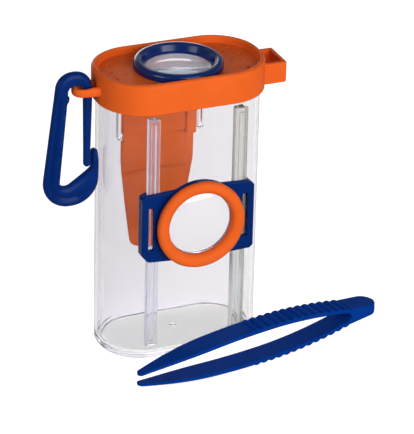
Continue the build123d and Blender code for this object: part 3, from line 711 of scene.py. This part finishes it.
def round_end_height(line, half, start, reach):
    """Half height of a bar that sinks at its tip: half * sqrt(1 - 0.8 * t^2).
    t runs from 0 at the start of the rounding to 1 at the tip, on the second half of the line.
    """
    t = np.clip((line[:, 1] - start) / reach, 0, 1) * (np.arange(len(line)) > len(line) / 2)
    return half * np.sqrt(1 - 0.8 * t ** 2)


satin_blue = moulded_plastic("satin_navy_moulding", NAVY, DEEP_NAVY, roughness=0.27, grain=0.10, sheen=0.07)
hook_height = round_end_height(hook_outer, HOOK_HALF, NOSE_TIP[1], NOSE_ROUND)
hook_bar = swept_bar(on_bar(hook_outer), on_bar(hook_inner), hook_height, up=(0, 1, 0), power=2.3,
                     steps=56, valley=channel)
hook_mesh = mould("hook_bar", hook_bar)
hook = show("blue_snap_hook", hook_mesh, satin_blue, ["carabiner"])
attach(hook, "carabiner")

GATE_HALF_HEIGHT = 1.8
GATE_ROUND_Z, GATE_ROUND = -37.9, -1.5
gate_outer = rounded_line([(gate_out, 2.0, 0), (gate_out, -GATE_DROP, 4), (8.1, -30.2, 2), (8.0, -39.4, 1.5),
                           (6.5, -39.4, 0)], steps=10)
gate_inner = rounded_line([(gate_in, 2.0, 0), (gate_in, -GATE_DROP, 4), (4.9, -30.2, 2), (4.9, -39.3, 1.4),
                           (6.4, -39.4, 0)], steps=10)
gate_height = round_end_height(gate_outer, GATE_HALF_HEIGHT, GATE_ROUND_Z, GATE_ROUND)
gate_bar = swept_bar(on_bar(gate_outer), on_bar(gate_inner), gate_height, up=(0, 1, 0), power=3.0,
                     steps=28)
gate_mesh = mould("gate_bar", gate_bar)
gate = show("blue_hook_gate", gate_mesh, satin_blue, ["carabiner_gate"])
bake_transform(gate)


# Scoop: an orange trough that hangs on the jar's back. It tapers to a rounded end, and two lugs at its top
# carry tongues that run in the grooves of the guide ribs.
SCOOP_HALF = 19.15
NECK_HALF = 17.4
SCOOP_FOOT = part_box("scoop")[0].z / MM
SCOOP_FOOT_HALF = 12.4
SCOOP_WALL = 1.8
SCOOP_BED = BACK + 6.4
BOWL_TOP, BOWL_RAMP, BOWL_STEP, BOWL_MARGIN = 74.5, 3.0, 1.3, 4.0
SCOOP_SAG = 2.6
SCOOP_RADIUS = (SCOOP_HALF ** 2 + SCOOP_SAG ** 2) / (2 * SCOOP_SAG)
LUG_FOOT = 94.0
SIDE_STEPS = 12
scoop_side = rounded_line([(0, SCOOP_FOOT, 0), (SCOOP_FOOT_HALF, SCOOP_FOOT, 6.0), (SCOOP_HALF, 80.0, 40.0),
                           (SCOOP_HALF, LUG_FOOT, 0.5), (NECK_HALF, LUG_FOOT + 1.2, 0.5),
                           (NECK_HALF, RAIL_TOP, 2.5), (0, RAIL_TOP, 0)], steps=SIDE_STEPS)
# The end points on the middle line only give the corners their direction.
scoop_side = scoop_side[SIDE_STEPS + 1:-SIDE_STEPS - 1]


def spaced(line, gap):
    """The same line with a point at every gap along its length."""
    run = np.concatenate([[0], np.cumsum(np.linalg.norm(np.diff(line, axis=0), axis=1))])
    at = np.linspace(0, run[-1], int(run[-1] / gap))
    return np.column_stack([np.interp(at, run, line[:, 0]), np.interp(at, run, line[:, 1])])


def trough(side, steps=40):
    """Bent plate: rows of half width w(z), y = bed - R + sqrt(R^2 - x^2) in front, a wall and round edges.
    Above the bowl the bed steps forward by a smooth ramp. Each end is closed by faces across the wall.
    """
    half, height = side[:, :1], side[:, 1]
    thin = SCOOP_WALL / 2
    share = np.linspace(-1, 1, steps)
    edge = np.linspace(-np.pi / 2, np.pi / 2, 7)[1:-1]
    x = np.concatenate([share * (half - thin), half - thin + thin * np.cos(edge), -share * (half - thin),
                        -(half - thin) - thin * np.cos(edge)], axis=1)
    lift = np.concatenate([np.full(steps, -1), np.sin(edge), np.full(steps, 1), -np.sin(edge)])
    y = SCOOP_BED - SCOOP_RADIUS + np.sqrt(SCOOP_RADIUS ** 2 - x ** 2) + thin * (1 + lift)
    ramp = np.clip((height - BOWL_TOP) / BOWL_RAMP, 0, 1)
    smooth = (ramp * ramp * (3 - 2 * ramp))[:, None]
    y -= BOWL_STEP * smooth * np.clip((half - np.abs(x)) / BOWL_MARGIN, 0, 1)
    z = np.broadcast_to(height[:, None], x.shape)
    points, faces = skin(np.stack([x, y, z], axis=2), capped=False)
    size = x.shape[1]
    front = np.arange(steps - 1)
    back = 2 * steps + len(edge) - 1 - front
    cap = np.stack([front, front + 1, back - 1, back], axis=1).tolist()
    cap += [list(range(steps - 1, steps + len(edge) + 1)), [*range(back[0], size), 0]]
    last = len(points) - size
    return points, faces + cap + [[last + corner for corner in face] for face in cap]


LUG_X = (13.75, SCOOP_HALF)
TONGUE_X = (SCOOP_HALF - 2, SCOOP_HALF + 1.0)
TONGUE_GAP = 0.3
PAD_HALF = 15
PAD_FOOT = 96.0
lug = edged_block(LUG_X, (BACK + 0.3, SCOOP_BED - 1.1), (LUG_FOOT, RAIL_TOP), edge=0.7, upright=1.0)
tongue = edged_block(TONGUE_X, (GUIDE_GROOVE_Y[0] + TONGUE_GAP, GUIDE_GROOVE_Y[1] - TONGUE_GAP),
                     (GUIDE_FOOT + 3, RAIL_TOP - 3), edge=0.3)
pad = edged_block((-PAD_HALF, PAD_HALF), (BACK + 1.9, SCOOP_BED - 0.6), (PAD_FOOT, RAIL_TOP - 0.4),
                  edge=0.5, upright=1.0)
scoop_adds = [mould("scoop_pad", pad), *both_sides("scoop_add", lug, tongue)]
ROW_GAP = 0.6
scoop_trough = mould("scoop_trough", trough(spaced(scoop_side, ROW_GAP)))
scoop_mesh = joined("orange_scoop", scoop_trough, scoop_adds)
# Painted shade: the scoop takes a darker copy of the lid's orange for the light it loses behind the jar's
# walls and under the lid.
shaded_scoop_orange = moulded_plastic("orange_moulding_with_painted_shade", (0.78, 0.136, 0.012), (0.70, 0.120, 0.010),
                               roughness=0.36, grain=0.12, sheen=0.03)
scoop = show("orange_scoop", scoop_mesh, shaded_scoop_orange, ["scoop"])
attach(scoop, "scoop")


# Tweezers: one blue moulding of two bowed arms that run into a wedge-shaped tail. Cross ribs on the back
# half of each arm give grip. Each half, arm and half tail, is a surface that bends at its root.
TWEEZERS_AT = np.array([-40.8, FRONT - 33.6, 10.1])
TWEEZERS_TURN = np.radians(13.0)
ARM_LENGTH = 122.0
TAIL_END = 139.3
TAIL_DROP = 1.85
TAIL_ROUND = 5.6
BOW_AT = 72.0
OUTER_HEIGHTS = {"tip": 3.3, "crest": 9.4, "root": 4.1}
INNER_HEIGHTS = {"tip": 1.9, "crest": 7.2, "root": 1.9}
GAP_ROUND = 2.4
TIP_HALF, ARM_HALF = 2.0, 6.0
TIP_TAPER, TIP_ROUND = 40.0, 1.5
ARM_EDGE = 0.5
ARM_ROW, ROOT_ROW = 0.25, 0.2
ROOT_START, END_ROUND = ARM_LENGTH - 4, 6.0
RIB_FIRST, RIB_LAST, RIB_PITCH = 65.5, 119.5, 4.5
RIB_CREST, RIB_VALLEY = 0.7, -0.65
RIB_BORDER = np.array([0.6, 0.8, 1.0, 1.3])
RIB_SHARE = np.array([0.62, 0.8, 0.93, 1.0])


def bowed(along, tip, crest, root):
    """Height of two parabolas that meet level at the bow: crest - drop * (way from the bow / reach)^2."""
    before = (BOW_AT - along) / BOW_AT
    after = (along - BOW_AT) / (ARM_LENGTH - BOW_AT)
    return np.where(along < BOW_AT, crest - (crest - tip) * before ** 2, crest - (crest - root) * after ** 2)


def tweezers_half(side):
    """Strip carried along the bow: rounded section between inner and outer heights, ribbed on its outer face.
    A rib is valley + (crest - valley) * |cos|^1.1 along the arm and sinks a little at both edges.
    """
    end_rows = TAIL_END - END_ROUND + END_ROUND * np.sin(np.linspace(0, np.pi / 2, 24))
    along = np.concatenate([np.arange(0, ROOT_START, ARM_ROW),
                            np.arange(ROOT_START, TAIL_END - END_ROUND, ROOT_ROW), end_rows])
    on_arm = along < ARM_LENGTH
    past = np.clip((along - ARM_LENGTH) / (TAIL_END - ARM_LENGTH), 0, 1)
    outer = np.where(on_arm, bowed(along, **OUTER_HEIGHTS), OUTER_HEIGHTS["root"] - TAIL_DROP * past)
    inner = bowed(np.minimum(along, ARM_LENGTH), **INNER_HEIGHTS)
    root = np.clip((along - (ARM_LENGTH - GAP_ROUND)) / GAP_ROUND, 0, 1)
    inner = np.where(on_arm, inner * np.sqrt(1 - root ** 2), 0.0)
    half = TIP_HALF + (ARM_HALF - TIP_HALF) * np.sin(np.clip(along / TIP_TAPER, 0, 1) * np.pi / 2)
    tip = np.sqrt(np.clip(1 - (1 - along / TIP_ROUND) ** 2, 0.04, 1))
    half = np.where(along < TIP_ROUND, half * tip, half)
    end = np.clip((along - (TAIL_END - TAIL_ROUND)) / TAIL_ROUND, 0, 1)
    half = np.maximum(half * np.sqrt(1 - end ** 2), 0.4)
    wave = np.abs(np.cos(np.pi * (along - RIB_FIRST) / RIB_PITCH)) ** 1.1
    ribbed = (along > RIB_FIRST - RIB_PITCH / 2) & (along < RIB_LAST + RIB_PITCH / 2)
    rib = np.where(ribbed, RIB_VALLEY + (RIB_CREST - RIB_VALLEY) * wave, 0)
    edge = np.minimum(np.minimum(ARM_EDGE, 0.45 * (outer - inner)), 0.3 * half)[:, None]
    inner_edge = np.where(on_arm, ARM_EDGE, 0.05)[:, None]
    border = np.minimum(RIB_BORDER, 0.6 * half[:, None] * RIB_BORDER / RIB_BORDER[-1])
    half, outer, inner = half[:, None], outer[:, None], inner[:, None]
    quarter = np.linspace(0, np.pi / 2, 6)
    top = outer + rib[:, None] * RIB_SHARE
    over = np.concatenate([half - edge * (1 - np.cos(quarter)), half - border, border[:, ::-1] - half,
                           -half + edge * (1 - np.sin(quarter))], axis=1)
    rim = top[:, :1]
    over_h = np.concatenate([rim - edge * (1 - np.sin(quarter)), top, top[:, ::-1],
                             rim - edge * (1 - np.cos(quarter))], axis=1)
    under = np.concatenate([-half + inner_edge * (1 - np.cos(quarter)),
                            half - inner_edge * (1 - np.sin(quarter))], axis=1)
    under_h = np.concatenate([inner + inner_edge * (1 - np.sin(quarter)),
                              inner + inner_edge * (1 - np.cos(quarter))], axis=1)
    across = np.concatenate([over, under], axis=1)
    height = side * np.concatenate([over_h, under_h], axis=1)
    u = np.broadcast_to(along[:, None], across.shape)
    x = u * np.cos(TWEEZERS_TURN) - across * np.sin(TWEEZERS_TURN)
    y = u * np.sin(TWEEZERS_TURN) + across * np.cos(TWEEZERS_TURN)
    return skin(np.stack([x, y, height], axis=2) + TWEEZERS_AT)


# Painted light: the tweezers take a lighter copy of the navy to brighten their up-facing arms, which the low
# lamps light little.
lit_tweezers_blue = moulded_plastic("navy_moulding_with_painted_light", (0.0014, 0.042, 0.29), (0.0012, 0.037, 0.26),
                                roughness=0.38, grain=0.10, sheen=0.01)
for side, arm in ((1, "upper_arm"), (-1, "lower_arm")):
    half_mesh = mould(f"tweezers_{arm}", tweezers_half(side))
    half_piece = show(f"blue_tweezers_{arm}", half_mesh, lit_tweezers_blue,
                      [f"tweezers_{arm}", "tweezers_tail"])
    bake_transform(half_piece)


# Stage: a plain white floor that keeps a soft shadow, softboxes in front, beside and behind, and a world that
# is white to straight and clear rays and grades to grey above the horizon for mirrored ones.
FLOOR_REACH, FLOOR_Z = 1.2, -0.0002
floor_corners = [(x * FLOOR_REACH, y * FLOOR_REACH, FLOOR_Z) for x, y in ((-1, -1), (1, -1), (1, 1), (-1, 1))]
floor_mesh = bpy.data.meshes.new("floor")
floor_mesh.from_pydata(floor_corners, [], [(0, 1, 2, 3)])
floor = bpy.data.objects.new("floor", floor_mesh)
bpy.context.collection.objects.link(floor)
paper = bpy.data.materials.new("white_paper")
paper.use_nodes = True
paper_nodes, paper_links = paper.node_tree.nodes, paper.node_tree.links
matte = paper_nodes["Principled BSDF"]
matte.inputs["Base Color"].default_value = (0.6, 0.6, 0.6, 1)
matte.inputs["Roughness"].default_value = 0.9
matte.inputs["Specular IOR Level"].default_value = 0
glow = paper_nodes.new("ShaderNodeEmission")
paper_sum = paper_nodes.new("ShaderNodeAddShader")
paper_links.new(matte.outputs["BSDF"], paper_sum.inputs[0])
paper_links.new(glow.outputs["Emission"], paper_sum.inputs[1])
paper_links.new(paper_sum.outputs["Shader"], paper_nodes["Material Output"].inputs["Surface"])


def seen_white(nodes, links, straight, glossy, rest):
    """Strength by ray: straight for camera and clear rays, glossy for mirrored ones, rest for all others."""
    path = nodes.new("ShaderNodeLightPath")
    level = None
    shares = {"Is Camera Ray": straight, "Is Transmission Ray": straight, "Is Glossy Ray": glossy}
    for ray, share in shares.items():
        scaled = nodes.new("ShaderNodeMath")
        scaled.operation = "MULTIPLY"
        links.new(path.outputs[ray], scaled.inputs[0])
        if isinstance(share, bpy.types.NodeSocket):
            links.new(share, scaled.inputs[1])
        else:
            scaled.inputs[1].default_value = share
        largest = nodes.new("ShaderNodeMath")
        largest.operation = "MAXIMUM"
        largest.inputs[1].default_value = rest
        links.new(scaled.outputs["Value"], largest.inputs[0])
        if level:
            links.new(level, largest.inputs[1])
        level = largest.outputs["Value"]
    return level


paper_level = seen_white(paper_nodes, paper_links, straight=0.85, glossy=0.05, rest=0.0)
paper_links.new(paper_level, glow.inputs["Strength"])
floor_mesh.materials.append(paper)

scene = bpy.context.scene
scene.view_settings.view_transform = "Standard"
world = bpy.data.worlds.new("pale_room")
scene.world = world
world.use_nodes = True
sky_nodes, sky_links = world.node_tree.nodes, world.node_tree.links
sky = sky_nodes["Background"]
sky.inputs["Color"].default_value = (1, 1, 1, 1)
way = sky_nodes.new("ShaderNodeTexCoord")
height = sky_nodes.new("ShaderNodeSeparateXYZ")
horizon = sky_nodes.new("ShaderNodeMapRange")
horizon.inputs["From Min"].default_value = 0.05
horizon.inputs["From Max"].default_value = 0.2
horizon.inputs["To Min"].default_value = 1.0
horizon.inputs["To Max"].default_value = 0.2
sky_links.new(way.outputs["Generated"], height.inputs["Vector"])
sky_links.new(height.outputs["Z"], horizon.inputs["Value"])
sky_level = seen_white(sky_nodes, sky_links, straight=1.0, glossy=horizon.outputs["Result"], rest=0.12)
sky_links.new(sky_level, sky.inputs["Strength"])


def stand(right, up, back, at):
    """Matrix of an object at a point whose own X, Y and Z axes are the three given ways."""
    rows = np.column_stack([right, up, back, at]).tolist()
    return Matrix([*rows, (0, 0, 0, 1)])


MIDDLE = np.array([0, 0, 0.07])


def softbox(name, at, size, power):
    """Softbox lamp of a width and height at a point, turned to face the middle of the set."""
    lamp = bpy.data.lights.new(name, "AREA")
    lamp.shape = "RECTANGLE"
    lamp.size, lamp.size_y = size
    lamp.energy = power
    box = bpy.data.objects.new(name, lamp)
    bpy.context.collection.objects.link(box)
    back = np.array(at, float) - MIDDLE
    back /= np.linalg.norm(back)
    right = np.cross((0, 0, 1), back)
    right /= np.linalg.norm(right)
    box.matrix_world = stand(right, np.cross(back, right), back, at)


softbox("key_softbox", (0.28, -1.18, 0.44), size=(0.9, 0.9), power=13.9)
softbox("side_softbox", (-1.0, -0.35, 0.5), size=(0.5, 0.5), power=3.2)
softbox("back_softbox", (0.35, 0.85, 0.95), size=(0.6, 0.2), power=0.8)
softbox("rear_softbox", (0.25, 1.25, 0.30), size=(0.7, 0.5), power=3.2)
scene.cycles.max_bounces = 32
scene.cycles.glossy_bounces = 24
scene.cycles.transmission_bounces = 32


# Camera: a long lens that looks down on the set from the photograph's angle. It is turned a little about
# its own axis and shifted so that the set lies where the photograph has it.
AZIMUTH, ELEVATION, ROLL = np.radians([-23.1973, 26.2754, 1.3878])
DISTANCE = 1.54
LENS_LENGTH, SENSOR_WIDTH = 266.6, 36
SHIFT_RIGHT, SHIFT_UP = 0.01505, -0.00383
AIM_HEIGHT = 0.066
back = np.array([np.sin(AZIMUTH) * np.cos(ELEVATION), -np.cos(AZIMUTH) * np.cos(ELEVATION),
                 np.sin(ELEVATION)])
level = np.array([np.cos(AZIMUTH), np.sin(AZIMUTH), 0])
rise = np.cross(back, level)
right = level * np.cos(ROLL) + rise * np.sin(ROLL)
up = rise * np.cos(ROLL) - level * np.sin(ROLL)
aim = np.array([0, 0, AIM_HEIGHT]) + right * SHIFT_RIGHT + up * SHIFT_UP
eye = aim + back * DISTANCE
camera_data = bpy.data.cameras.new("camera")
camera_data.lens = LENS_LENGTH
camera_data.sensor_width = SENSOR_WIDTH
camera = bpy.data.objects.new("camera", camera_data)
bpy.context.collection.objects.link(camera)
camera.matrix_world = stand(right, up, back, eye)
scene.camera = camera
